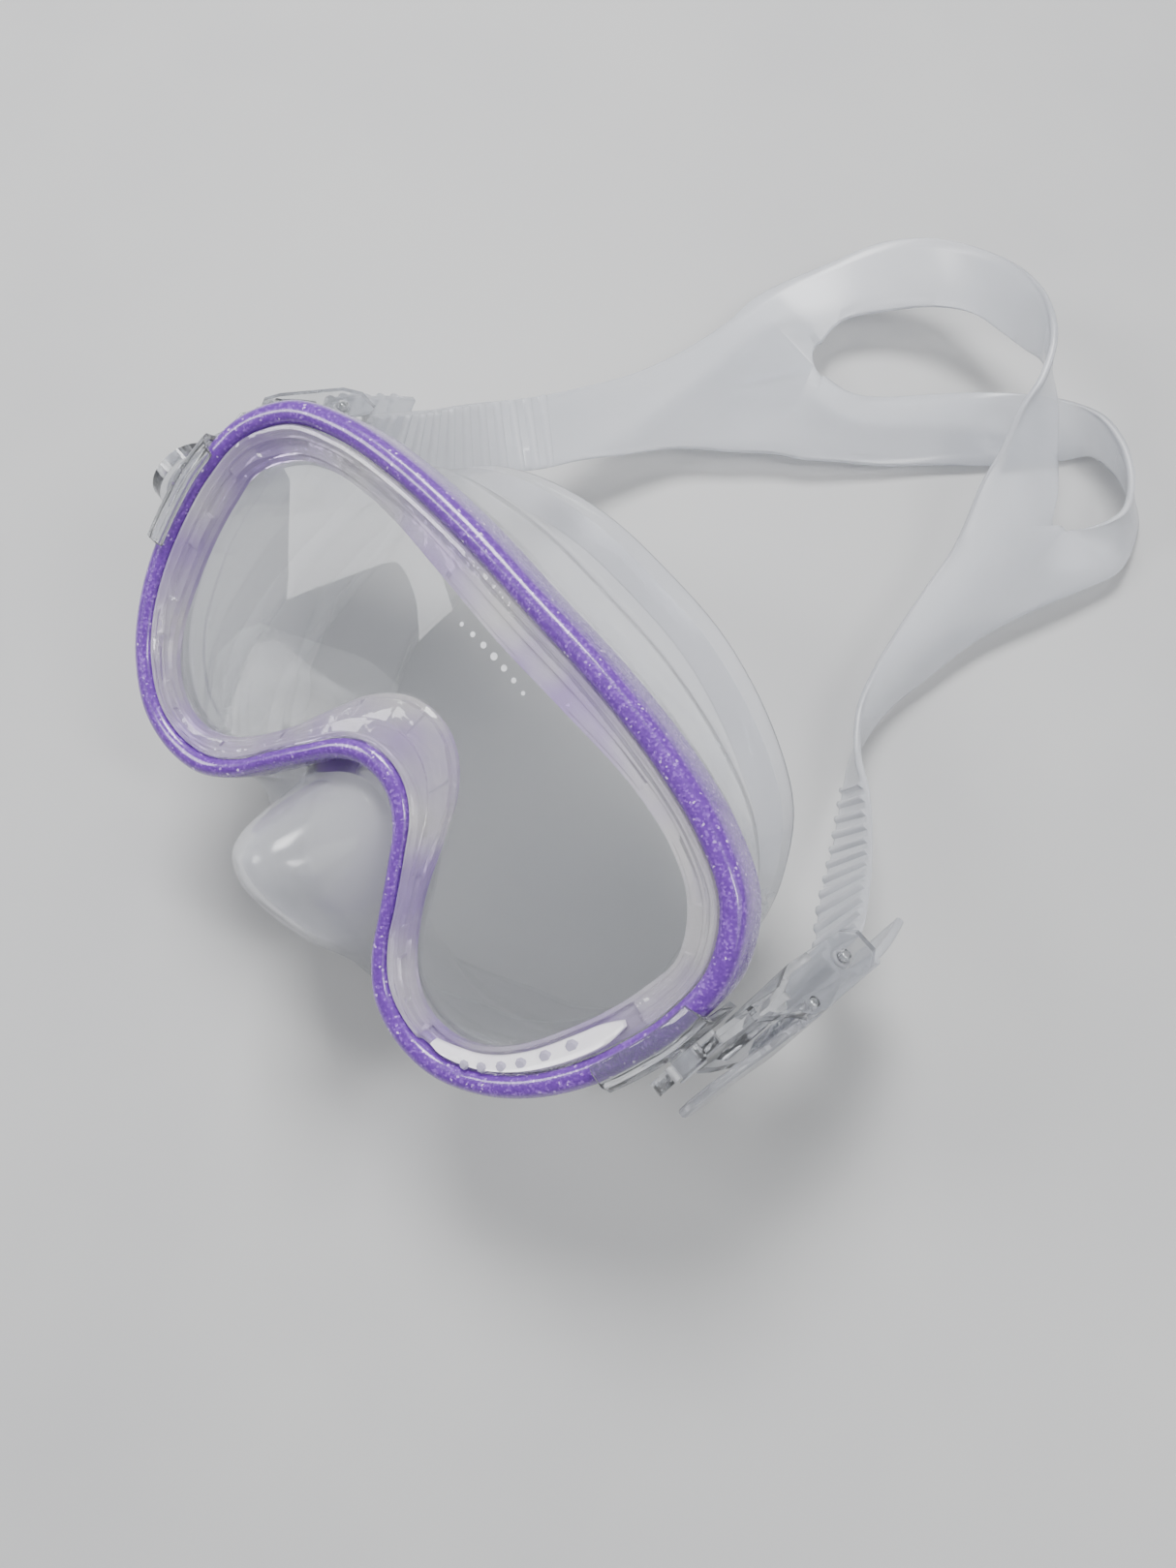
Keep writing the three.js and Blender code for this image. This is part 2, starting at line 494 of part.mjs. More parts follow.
const strap = join(
  ribbon(leftTongue, { ribs: { from: 3, to: 87, pitch: 4.2, side: 1 } }),
  ribbon(rightTongue, { ribs: { from: 3, to: 87, pitch: 4.2, side: -1 } }),
  ribbon(upperBand, { thick: STRAP_T - 0.06, trim: 0.03 }),
  ribbon(lowerBand, { thick: STRAP_T - 0.06, trim: 0.03 }),
);
add("strap", cut(strap, ground).translate(...OFFSET, 0), 0xb4b8c2, 0.3, MILKY);

export default mask;
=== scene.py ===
import math
import bpy
import bmesh
from mathutils import Matrix, Vector
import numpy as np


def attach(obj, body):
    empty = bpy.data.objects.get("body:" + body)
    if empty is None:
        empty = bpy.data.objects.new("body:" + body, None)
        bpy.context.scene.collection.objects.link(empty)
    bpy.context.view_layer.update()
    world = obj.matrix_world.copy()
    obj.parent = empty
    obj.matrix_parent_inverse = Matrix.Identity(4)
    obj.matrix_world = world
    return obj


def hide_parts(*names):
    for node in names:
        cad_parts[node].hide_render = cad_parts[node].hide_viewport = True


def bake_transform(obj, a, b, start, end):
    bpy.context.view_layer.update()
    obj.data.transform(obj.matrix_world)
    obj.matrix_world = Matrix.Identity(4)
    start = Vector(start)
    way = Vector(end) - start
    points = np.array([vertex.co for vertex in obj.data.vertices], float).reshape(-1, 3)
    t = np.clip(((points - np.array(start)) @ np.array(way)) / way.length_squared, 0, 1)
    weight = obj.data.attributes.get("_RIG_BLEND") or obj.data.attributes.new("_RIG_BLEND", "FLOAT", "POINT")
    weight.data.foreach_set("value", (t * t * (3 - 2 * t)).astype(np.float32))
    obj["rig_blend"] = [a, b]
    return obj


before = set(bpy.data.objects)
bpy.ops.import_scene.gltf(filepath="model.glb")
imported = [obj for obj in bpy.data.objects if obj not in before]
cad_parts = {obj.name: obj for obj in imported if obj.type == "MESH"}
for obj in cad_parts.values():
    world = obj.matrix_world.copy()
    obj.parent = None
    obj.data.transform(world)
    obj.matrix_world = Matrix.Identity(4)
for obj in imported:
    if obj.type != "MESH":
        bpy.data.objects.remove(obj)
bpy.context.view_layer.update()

# A snorkel mask's visible pieces. Lengths are in mm until make() turns them into metres.
MM = 0.001

# ------------------------------------------------------------ the mask's own frame, in mm
TILT = math.radians(30.3)
CENTRE = Vector((0, -83.5, 68.2))
LENS_FRAME = Matrix.Translation(CENTRE) @ Matrix.Rotation(TILT, 4, "X")
TABLE = Vector((0, -83.5, 0))
FLOOR_GAP = 0.15
FRAME_W = 5.0  # width of the coloured frame
LENS_FRONT = -3.5  # forward place of the lens' front face in the mask's own frame
LENS_T = 3.2
LENS_INSET = 4.6  # lens edge inside the frame's outer edge

# Half outlines from the brow's centre to the notch's centre, and the skirt's rim and seal there.
OUTER = [
    (0, 41), (20, 41), (40, 39.3), (55, 36), (67, 30), (74.5, 19), (76, 6), (74.5, -5),
    (71.5, -15.5), (66.5, -25.5), (59.5, -34), (50, -40.3), (40, -42), (31, -40), (24.5, -34.8),
    (19.5, -27.5), (14.5, -20), (9.5, -13.3), (5, -10), (0, -9),
]
OPENING = [
    (0, 27.5), (18, 28), (37, 28.2), (50, 26), (59, 21.5), (65, 13), (64.8, 5), (63.5, -3),
    (60.5, -13), (56.5, -22.5), (51.5, -29), (45, -32.7), (38, -33), (31.5, -29.5), (26.5, -24),
    (22, -17), (17.5, -7), (13, 1.5), (7, 6.8), (0, 8.5),
]
RIM = [
    (0, 53, -46), (20, 52, -45), (40, 46, -46.5), (54, 37, -51), (62, 25, -56), (66, 14, -61),
    (67.5, 3, -64.5), (69, -8, -66.5), (68.5, -20, -65.5), (66, -31, -61), (61, -41, -55.5),
    (52, -50, -50), (42, -55.5, -47), (33, -59, -45), (26, -61, -43.8), (20, -62.5, -43),
    (15, -63.5, -42), (10, -64.3, -41.5), (5, -64.8, -41), (0, -65, -41),
]
SEAL = [
    (9, 5), (9, 5), (9, 5.5), (9, 7), (9, 8.5), (9, 9.5), (9, 10), (9, 10), (9, 9), (9, 8),
    (9.5, 6), (10, 4), (10, 2.5), (8.5, 1.5), (7, 1), (6, .6), (6, .6), (6, .6), (6, .6), (6, .6),
]
WALL = [0, 0.07, 0.14, 0.27, 0.38, 0.49, 0.6, 0.69, 0.8, 0.91, 1]
NOSE_RISE = [0, 8.3, 16.4, 29.4, 37.3, 40.2, 34.6, 25.4, 14.8, 4.2, 0]
NOSE_HALF = 17.5
STATIONS = 2 * (len(OUTER) - 1)


def smooth(x, a, b):
    """0 below a, 1 above b, and an S curve between."""
    t = min(max((x - a) / (b - a), 0), 1)
    return t * t * (3 - 2 * t)


def lerp(a, b, t):
    return a + (b - a) * t


def spline(points, closed=False):
    """Centripetal curve through the points, read by point number."""
    pts = [Vector(p) for p in points]
    n = len(pts)

    def at(t):
        if closed:
            i = math.floor(t)
            w = t - i
            p0, p1, p2, p3 = (pts[(i + k) % n] for k in (-1, 0, 1, 2))
        else:
            t = min(max(t, 0), n - 1)
            i = min(int(t), n - 2)
            w = t - i
            p1, p2 = pts[i], pts[i + 1]
            p0 = pts[i - 1] if i else 2 * p1 - p2
            p3 = pts[i + 2] if i + 2 < n else 2 * p2 - p1
        d1 = max((p2 - p1).length_squared, 1e-9) ** 0.25
        d0 = max((p1 - p0).length_squared, 0) ** 0.25 or d1
        d2 = max((p3 - p2).length_squared, 0) ** 0.25 or d1
        t1 = ((p1 - p0) / d0 - (p2 - p0) / (d0 + d1) + (p2 - p1) / d1) * d1
        t2 = ((p2 - p1) / d1 - (p3 - p1) / (d1 + d2) + (p3 - p2) / d2) * d1
        return (p1 + t1 * w + (-3 * p1 + 3 * p2 - 2 * t1 - t2) * w ** 2
                + (2 * p1 - 2 * p2 + t1 + t2) * w ** 3)

    return at


def around(half):
    """A closed curve through a half outline and its mirror image."""
    pts = [(p[0], p[1], p[2] if len(p) > 2 else 0) for p in half]
    return spline(pts + [(-x, y, z) for x, y, z in reversed(pts[1:-1])], True)


outer_at, opening_at, rim_at = around(OUTER), around(OPENING), around(RIM)
seal_at = around([(0, a, b) for a, b in SEAL])


def section(f):
    """Station f of the frame: its depth, and a point s mm in from the outer edge, w forward."""
    o = outer_at(f)
    d = opening_at(f) - o
    depth = d.length
    d.normalize()
    return depth, lambda s, w: Vector((o.x + d.x * s, o.y + d.y * s, w))


def rounded(points, radius=0.4, steps=3):
    """The closed outline of 2D points with its corners rounded."""
    out, n = [], len(points)
    for i in range(n):
        p, q, r = (Vector(points[(i + k) % n]) for k in (-1, 0, 1))
        reach = min(radius, (p - q).length * 0.45, (r - q).length * 0.45)
        a, b = q + (p - q).normalized() * reach, q + (r - q).normalized() * reach
        for k in range(steps + 1):
            t = k / steps
            out.append((1 - t) ** 2 * a + 2 * t * (1 - t) * q + t ** 2 * b)
    return out


# ------------------------------------------------------------ meshes
def make(name, points, faces, body="mask", slot=None, replaces=(), sharp=35, ride=True):
    """A mesh object from points in mm, riding on its body."""
    mesh = bpy.data.meshes.new(name)
    mesh.from_pydata([p * MM for p in points], [], faces)
    bm = bmesh.new()
    bm.from_mesh(mesh)
    bmesh.ops.remove_doubles(bm, verts=bm.verts, dist=1e-6)
    bmesh.ops.recalc_face_normals(bm, faces=bm.faces)
    bm.to_mesh(mesh)
    bm.free()
    obj = bpy.data.objects.new(name, mesh)
    bpy.context.scene.collection.objects.link(obj)
    shade(obj, sharp)
    if ride:
        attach(obj, body)
    if replaces:
        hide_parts(*replaces)
    return obj


def shade(obj, sharp=35):
    obj.data.polygons.foreach_set("use_smooth", [True] * len(obj.data.polygons))
    obj.data.set_sharp_from_angle(angle=math.radians(sharp))
    obj.data.update()


def grid_faces(rows, cols, wrap_rows, wrap_cols):
    """Quads over rows of points, joined end to end where a direction wraps."""
    faces = []
    for i in range(rows if wrap_rows else rows - 1):
        a, b = i * cols, ((i + 1) % rows) * cols
        for j in range(cols if wrap_cols else cols - 1):
            k = (j + 1) % cols
            faces.append((a + j, b + j, b + k, a + k))
    return faces


def capped(rows, cols):
    """Quads over open rows of closed sections, with a flat face at each end."""
    faces = grid_faces(rows, cols, False, True)
    return faces + [tuple(range(cols)), tuple(range((rows - 1) * cols, rows * cols))]


def flat(rows):
    return [p for row in rows for p in row]


def ring(name, profile, per=8, extra=(), **kw):
    """A closed ring round the lens; profile gives the section at a station."""
    stations = sorted({i / per for i in range(STATIONS * per)} | set(extra))
    rows = [[LENS_FRAME @ p for p in profile(f)] for f in stations]
    faces = grid_faces(len(rows), len(rows[0]), True, True)
    return make(name, flat(rows), faces, **kw)


# ------------------------------------------------------------ materials
def material(name, color, roughness=0.3, alpha=1.0, **sockets):
    mat = bpy.data.materials.new(name)
    mat.use_nodes = True
    nodes, links = mat.node_tree.nodes, mat.node_tree.links
    bsdf = nodes["Principled BSDF"]
    bsdf.inputs["Base Color"].default_value = (*color, 1)
    bsdf.inputs["Roughness"].default_value = roughness
    bsdf.inputs["Alpha"].default_value = alpha
    for key, value in sockets.items():
        bsdf.inputs[key.replace("_", " ")].default_value = value
    return mat, nodes, links, bsdf


def noise(nodes, links, scale, detail=4, kind="Noise"):
    """A noise or cell texture in the piece's own coordinates."""
    coord = nodes.get("coord") or nodes.new("ShaderNodeTexCoord")
    coord.name = "coord"
    tex = nodes.new(f"ShaderNodeTex{kind}")
    tex.inputs["Scale"].default_value = scale
    if kind == "Noise":
        tex.inputs["Detail"].default_value = detail
    links.new(coord.outputs["Object"], tex.inputs["Vector"])
    return tex


def ramp(nodes, links, source, stops):
    r = nodes.new("ShaderNodeValToRGB")
    while len(r.color_ramp.elements) < len(stops):
        r.color_ramp.elements.new(0.5)
    for e, (at, c) in zip(r.color_ramp.elements, stops):
        e.position = at
        e.color = (*c, 1) if isinstance(c, tuple) else (c, c, c, 1)
    links.new(source, r.inputs["Fac"])
    return r


def bump(nodes, links, bsdf, source, strength, distance):
    b = nodes.new("ShaderNodeBump")
    b.inputs["Strength"].default_value = strength
    b.inputs["Distance"].default_value = distance
    links.new(source, b.inputs["Height"])
    previous = bsdf.inputs["Normal"].links
    if previous:
        links.new(previous[0].from_socket, b.inputs["Normal"])
    links.new(b.outputs["Normal"], bsdf.inputs["Normal"])
    return b


def varied(nodes, links, bsdf, color, dark, scale, rough):
    """Cloudy colour and roughness from one noise."""
    tex = noise(nodes, links, scale)
    c = ramp(nodes, links, tex.outputs["Fac"], [(0.3, dark), (0.7, color)])
    r = ramp(nodes, links, tex.outputs["Fac"], [(0.3, rough[0]), (0.7, rough[1])])
    links.new(c.outputs["Color"], bsdf.inputs["Base Color"])
    links.new(r.outputs["Color"], bsdf.inputs["Roughness"])
    return tex


def silicone(name, color, dark, alpha, transmission, rough=(0.2, 0.34)):
    mat, nodes, links, bsdf = material(name, color, 0.28, alpha, IOR=1.41,
                                       Transmission_Weight=transmission)
    varied(nodes, links, bsdf, color, dark, 22, rough)
    fine = noise(nodes, links, 1400, 4)
    bump(nodes, links, bsdf, fine.outputs["Fac"], 0.06, 0.0001)
    broad = noise(nodes, links, 35, 2)
    bump(nodes, links, bsdf, broad.outputs["Fac"], 0.06, 0.0012)
    return mat


skirt_mat = silicone("skirt_silicone_look", (0.95, 0.955, 0.98), (0.90, 0.91, 0.95), 1.0, 0.82,
                     (0.10, 0.2))
strap_mat = silicone("strap_silicone_look", (0.93, 0.94, 0.975), (0.87, 0.89, 0.94), 1.0, 0.68,
                     (0.14, 0.24))

glitter_mat, n_, l_, b_ = material("purple_glitter_look", (0.42, 0.18, 0.72), 0.22,
                                   Coat_Weight=0.8, Coat_Roughness=0.05)
cells = noise(n_, l_, 2300, kind="Voronoi")
specks = ramp(n_, l_, cells.outputs["Color"], [(0.0, (0.10, 0.02, 0.27)), (0.62, (0.15, 0.035, 0.38)),
                                               (0.88, (0.30, 0.12, 0.62)), (0.96, (0.85, 0.68, 1.0))])
l_.new(specks.outputs["Color"], b_.inputs["Base Color"])
shine = ramp(n_, l_, cells.outputs["Color"], [(0.0, 0.34), (0.8, 0.26), (0.95, 0.08)])
l_.new(shine.outputs["Color"], b_.inputs["Roughness"])
bump(n_, l_, b_, cells.outputs["Distance"], 0.15, 0.0002)

# The clear bezel's lavender base colour is painted reflection: the purple frame seen in and through the
# clear plastic.
bezel_mat, n_, l_, b_ = material("clear_bezel_look", (0.80, 0.70, 0.95), 0.06, 1.0, IOR=1.5,
                                 Transmission_Weight=0.8)
# Noise spreads the painted purple reflection of the frame over the bezel in patches; the palest stop is the
# clear plastic's own colour.
reflection_noise = noise(n_, l_, 55, 2)
tone_and_painted_reflection = ramp(n_, l_, reflection_noise.outputs["Fac"], [(0.35, (0.70, 0.55, 0.93)), (0.52, (0.90, 0.84, 0.97)),
                                          (0.66, (0.98, 0.95, 0.96))])
l_.new(tone_and_painted_reflection.outputs["Color"], b_.inputs["Base Color"])
ripple = noise(n_, l_, 260, 2)
bump(n_, l_, b_, ripple.outputs["Fac"], 0.2, 0.0008)

lens_mat, n_, l_, b_ = material("lens_glass_look", (0.95, 0.97, 0.98), 0.02, 0.55, IOR=1.5,
                                Transmission_Weight=1.0)
smear = noise(n_, l_, 30, 5)
film = ramp(n_, l_, smear.outputs["Fac"], [(0.45, 0.015), (0.75, 0.07)])
l_.new(film.outputs["Color"], b_.inputs["Roughness"])


def clear_plastic(name, color, rough, transmission):
    mat, nodes, links, bsdf = material(name, color, rough[0], 1.0, IOR=1.5,
                                       Transmission_Weight=transmission)
    varied(nodes, links, bsdf, color, tuple(c * 0.9 for c in color), 120, rough)
    flow = noise(nodes, links, 180, 3)
    bump(nodes, links, bsdf, flow.outputs["Fac"], 0.12, 0.0006)
    return mat


buckle_mat = clear_plastic("clear_buckle_look", (0.95, 0.96, 0.99), (0.02, 0.06), 0.95)
lever_mat = clear_plastic("clear_lever_look", (0.92, 0.93, 0.98), (0.08, 0.18), 0.8)
gem_mat = clear_plastic("gem_look", (0.62, 0.58, 0.74), (0.0, 0.03), 0.35)
roller_mat = clear_plastic("roller_look", (0.90, 0.91, 0.94), (0.2, 0.3), 0.3)
pin_mat = clear_plastic("pin_plastic_look", (0.90, 0.91, 0.95), (0.1, 0.2), 0.5)

pearl_mat, n_, l_, b_ = material("pearl_look", (0.93, 0.90, 0.93), 0.25, Coat_Weight=0.6,
                                 Coat_Roughness=0.08)
cloud = varied(n_, l_, b_, (0.95, 0.93, 0.95), (0.86, 0.82, 0.89), 160, (0.2, 0.32))
bump(n_, l_, b_, cloud.outputs["Fac"], 0.05, 0.0003)

steel_mat, n_, l_, b_ = material("pin_steel_look", (0.72, 0.73, 0.75), 0.25, Metallic=1.0)
varied(n_, l_, b_, (0.76, 0.77, 0.79), (0.60, 0.61, 0.63), 700, (0.2, 0.36))

print_mat, n_, l_, b_ = material("print_look", (0.9, 0.9, 0.92), 0.4)
varied(n_, l_, b_, (0.93, 0.93, 0.95), (0.80, 0.80, 0.84), 900, (0.35, 0.5))


def dress(obj, mat):
    obj.data.materials.clear()
    obj.data.materials.append(mat)
    return obj


# ------------------------------------------------------------ frame, bezel and lens
FRAME_OUTLINE = rounded([
    (0, -9.4), (1.2, -9.4), (1.2, -3.2), (FRAME_W, -3.2), (FRAME_W, 0.8), (4.3, 1.7), (2.8, 2.1),
    (1.2, 1.6), (0.25, 0.2), (0, -2.2),
], 0.7, 3)


def frame_profile(f):
    _, at = section(f)
    return [at(s, w) for s, w in FRAME_OUTLINE]


dress(ring("front_frame_moulding", frame_profile, slot="purple_frame", replaces=["front_frame"]),
      glitter_mat)

INLAY = (6.8, 11.2)  # stations between which the pale inlay lies
TABS = [i * 1.9 + 0.6 for i in range(20)]  # stations of the ring's raised tabs


def bezel_slope(s, depth):
    knots = [(5.3, 1.0), (6.1, 1.5), ((depth + 3.9) / 2, 0.8), (depth - 2.2, -0.5), (depth, -1.9)]
    for (s0, w0), (s1, w1) in zip(knots, knots[1:]):
        if s <= s1:
            return w0 + (w1 - w0) * (s - s0) / (s1 - s0)
    return knots[-1][1]


def bezel_profile(f):
    depth, at = section(f)
    drop = 1.35 if INLAY[0] - 0.35 < f < INLAY[1] + 0.35 else 0
    tab = 0 if drop else sum(smooth(0.42 - abs(f - t), 0, 0.05) for t in TABS) * 0.55
    mid = (depth + 3.9) / 2
    top = [
        (5.3, 1.0), (5.6, 1.45), (6.3, 1.5), (6.6, 1.15), (mid - 0.5, 0.85), (mid, 0.8),
        (mid + 0.25, 0.35), (depth - 2.6, -0.35 + tab), (depth - 2.2, -0.5 + tab),
        (depth - 1.2, -0.75 + tab), (depth - 0.8, -1.5), (depth, -2.0), (depth, -2.6),
    ]
    if drop:
        top = [(s, min(w, bezel_slope(s, depth) - drop)) for s, w in top[:10]] + top[10:]
    outline = [(5.3, -3.2)] + top + [(depth, -3.2)]
    return [at(s, w) for s, w in outline]


edges = [t + d for t in TABS for d in (-0.42, -0.37, 0.37, 0.42)]
dress(ring("inner_bezel_moulding", bezel_profile, slot="clear_bezel", replaces=["inner_bezel"],
           extra=[e for e in edges if 0 < e < STATIONS], sharp=20), bezel_mat)


def lens_mesh():
    stations = [i / 8 for i in range(STATIONS * 8)]
    back = LENS_FRONT - LENS_T
    levels = [(0.5, back), (0.15, back + 0.1), (0, back + 0.4),
              (0, LENS_FRONT - 0.4), (0.15, LENS_FRONT - 0.1), (0.5, LENS_FRONT)]
    rows = [[LENS_FRAME @ section(f)[1](LENS_INSET + s, w) for f in stations] for s, w in levels]
    return make("lens_glass", flat(rows), capped(len(rows), len(stations)), slot="lens_glass",
                replaces=["lens"], sharp=25)


dress(lens_mesh(), lens_mat)


def printed_dots():
    """A plain row of small printed dots under the lens' upper edge."""
    points, faces = [], []
    for i in range(-3, 4):
        c = Vector((i * 3.1, 24.6 - 0.06 * i * i, LENS_FRONT))
        r = 0.75 - 0.11 * abs(i)
        base = len(points)
        for w in (0.01, 0.05):
            for k in range(16):
                a = k * math.pi / 8
                points.append(LENS_FRAME @ (c + Vector((r * math.cos(a), r * math.sin(a), w))))
        faces += [(base + k, base + (k + 1) % 16, base + 16 + (k + 1) % 16, base + 16 + k)
                  for k in range(16)]
        faces += [tuple(base + 15 - k for k in range(16)), tuple(base + 16 + k for k in range(16))]
    return make("lens_printed_dots", points, faces, slot="lens_glass", sharp=30)


dress(printed_dots(), print_mat)


def inlay_mesh():
    rows = []
    count = 60
    for i in range(count + 1):
        f = lerp(*INLAY, i / count)
        depth, at = section(f)
        edge = min(f - INLAY[0], INLAY[1] - f) / 0.75
        fill = 1 if edge >= 1 else 0.3 + 0.7 * math.sin(edge * math.pi / 2)
        mid, half = (5.7 + depth - 1.5) / 2, (depth - 7.2) / 2 * fill
        across = [-1, -0.94, -0.8, -0.4, 0, 0.4, 0.8, 0.94, 1]
        rise = [-0.5, 0.05, 0.25, 0.36, 0.4, 0.36, 0.25, 0.05, -0.5]
        top = [at(mid + k * half, bezel_slope(mid + k * half, depth) + r)
               for k, r in zip(across, rise)]
        base = [at(mid + k * half, bezel_slope(mid + k * half, depth) - 0.9) for k in (1, -1)]
        rows.append([LENS_FRAME @ p for p in top + base])
    return make("pearl_inlay_moulding", flat(rows), capped(len(rows), len(rows[0])),
                slot="pearl_plastic", replaces=["pearl_inlay"], sharp=45)


dress(inlay_mesh(), pearl_mat)


# ------------------------------------------------------------ skirt
SKIRT_T = 1.6
fine_wall = [j / 3 for j in range(3 * (len(WALL) - 1) + 1)]


def wall_row(f):
    """The skirt's outer face at a station, from the frame down to the rim."""
    _, at = section(f)
    k = min(f, STATIONS - f)
    side = abs(outer_at(f).x) / NOSE_HALF
    nose = math.sqrt(1 - side * side) if k > 13 and side < 1 else 0
    step = smooth(k, 13.5, 16.5)
    start, rim = at(1.9 - 3.1 * step, -10.1), rim_at(f)
    inward = (opening_at(f) - outer_at(f)).normalized()
    rows = []
    for t, rise in zip(WALL, NOSE_RISE):
        p = start.lerp(rim, t)
        p.z += nose * rise
        rows.append(p + inward * (1 - step) * 3.2 * math.sin(math.pi * t))
    curve = spline(rows)
    out = []
    for j in fine_wall:
        t = spline([(x, 0, 0) for x in WALL])(j).x
        ledge = 0.7 * (1 - step) * (1 - smooth(t, 0.52, 0.56)) * smooth(t, 0.05, 0.15)
        out.append(curve(j) - inward * ledge)
    return out


PER = 6
skirt_stations = [i / PER for i in range(STATIONS * PER)]
walls = [wall_row(f) for f in skirt_stations]


def wall_normal(i, j):
    n = len(walls)
    a = walls[(i + 1) % n][j] - walls[i - 1][j]
    b = walls[i][min(j + 1, len(fine_wall) - 1)] - walls[i][max(j - 1, 0)]
    return a.cross(b).normalized()


def skirt_row(i, f):
    """The skirt's whole section: outer wall, face seal, inner wall and lens seat."""
    _, at = section(f)
    rim = rim_at(f)
    tangent = rim_at(f + 0.4) - rim_at(f - 0.4)
    inward = Vector((tangent.y, -tangent.x, 0)).normalized()
    reach, rise = seal_at(f).y, seal_at(f).z

    def seal(r, w):
        return rim + inward * r + Vector((0, 0, w))

    face = [seal(0.5, -0.25), seal(1.2, -0.1), seal(reach * 0.3, rise * 0.12),
            seal(reach * 0.55, rise * 0.38), seal(reach * 0.8, rise * 0.7), seal(reach - 0.3, rise),
            seal(reach, rise + 0.45), seal(reach - 0.35, rise + 0.9),
            seal(reach * 0.8, rise * 0.7 + 1.0), seal(reach * 0.55, rise * 0.4 + 1.2)]
    inner = [walls[i][j] - wall_normal(i, j) * SKIRT_T for j in range(27, 2, -1)]
    return ([at(1.5, -3.8), at(1.5, -6.5), at(1.5, -9.0)] + walls[i] + face + inner
            + [at(8.0, -9.0), at(8.4, -8.6), at(8.4, -7.1), at(8.0, -7.0), at(4.3, -7.0),
               at(4.3, -3.8)])


def on_floor(p):
    return Vector((p.x, p.y, max(p.z, FLOOR_GAP)))


rows = [[on_floor(LENS_FRAME @ p) for p in skirt_row(i, f)] for i, f in enumerate(skirt_stations)]
dress(make("skirt_moulding", flat(rows),
           grid_faces(len(rows), len(rows[0]), True, True), slot="skirt_silicone",
           replaces=["face_skirt"], sharp=60), skirt_mat)


def dot_field():
    """Rows of small raised grip dots on both temples of the skirt."""
    points, faces = [], []
    for mirror in (1, -1):
        for a in range(6):
            for b in range(5):
                f = 4.25 + a * 0.23 + b * 0.07
                i = round(f * PER)
                j = 20.5 + b * 1.75 - a * 0.15
                j0 = int(j)
                row = walls[i]
                p = row[j0].lerp(row[j0 + 1], j - j0)
                u = (walls[i + 1][j0] - walls[i - 1][j0]).normalized()
                n = wall_normal(i, j0)
                v = n.cross(u)
                base = len(points)
                for r, h in ((0.85, -0.1), (0.7, 0.3), (0.35, 0.5)):
                    for k in range(10):
                        q = k * math.pi / 5
                        points.append(p + u * r * math.cos(q) + v * r * math.sin(q) + n * h)
                points.append(p + n * 0.55)
                for o in (base, base + 10):
                    for k in range(10):
                        m = (k + 1) % 10
                        faces.append((o + k, o + m, o + 10 + m, o + 10 + k))
                faces += [(base + 20 + k, base + 20 + (k + 1) % 10, base + 30) for k in range(10)]
                if mirror < 0:
                    for q in points[base:]:
                        q.x = -q.x
    return [LENS_FRAME @ p for p in points], faces


points, faces = dot_field()
dress(make("skirt_grip_dots", points, faces, slot="skirt_silicone"), skirt_mat)

# ------------------------------------------------------------ strap, upper edge first, in mm
ALONG = Vector((0.1, 0.8, -0.59)).normalized()
ACROSS = Vector((0, 0.593, 0.805)).normalized()
OUTWARD = ALONG.cross(ACROSS)
SWIVEL = Vector((79.6, 2.6, 63.9))
ROLLER_L = 42  # roller from the swivel pin, along the buckle
STRAP_W = 17
STRAP_T = 1.8
RIB_H = 0.9
WRAP = 3.2  # radius of the strap's middle round the roller


def in_buckle(l, p, z):
    return SWIVEL + ALONG * l + ACROSS * p + OUTWARD * z


turn = [(ROLLER_L + WRAP * math.cos(math.radians(a)), WRAP * math.sin(math.radians(a)))
        for a in range(90, 271, 30)]
tail = [(68, -0.4), (62, 1.4), (56, 2.7), (51, 3.2), (47, WRAP)]
threaded = tail + turn + [(48, -WRAP), (54, -WRAP)]
THREADED = [[in_buckle(l, p, z) for p in (STRAP_W / 2, -STRAP_W / 2)]
            for l, z in threaded]
LEFT = [[Vector((-p.x, p.y, p.z)) for p in pair] for pair in THREADED] + [
    [(-78, 61, 35), (-75, 53, 20.5)], [(-75, 71, 32), (-66.5, 64, 19)],
    [(-71, 85, 26), (-57.5, 77, 17.5)], [(-68, 100, 20), (-54, 89, 14)],
    [(-65, 116, 15), (-49, 102, 10)], [(-64, 132, 11), (-43, 114, 8)],
    [(-64, 150, 9), (-34, 124, 7)], [(-65, 160, 9), (-26, 133, 6.5)],
]
UPPER = [
    [(-64, 168, 9.5), (-43, 166, 8.5)], [(-59, 182, 12), (-44, 175, 9.5)],
    [(-53, 195, 16), (-38, 185, 11)], [(-43, 203, 21), (-30, 193, 14)],
    [(-31, 206, 26), (-20, 198, 17)], [(-17, 206, 31), (-10, 199, 18)],
    [(-5, 202, 34), (-2, 199, 19)], [(5, 194, 35), (4, 199, 20)], [(11, 184, 33.5), (9, 196, 20)],
    [(13, 176, 31), (16, 191, 19)], [(17, 167, 27), (24, 183, 17.5)],
    [(20, 158, 22.5), (32, 176, 15.5)], [(24, 150, 19), (38, 169, 13)],
]
LOWER = [
    [(-34, 159, 8), (-20, 138, 6)], [(-26, 161, 7.5), (-13, 146, 5)],
    [(-20, 166, 7.5), (-6, 154, 3.5)], [(-11, 177, 8.5), (3, 166, 2.5)],
    [(-2, 187, 10), (11, 176, 1.8)], [(7, 194, 12.5), (18, 186, 1.2)],
    [(16, 199, 14.5), (24, 195, 1)], [(25, 201, 16), (28, 202, 1)], [(35, 198, 16.5), (35, 203, 1)],
    [(43, 192, 16), (42, 201, 1)], [(47, 186, 14.5), (50, 195, 1.6)],
    [(46, 180, 13), (55, 186, 3)], [(42, 173, 12), (57, 178, 4.4)],
]
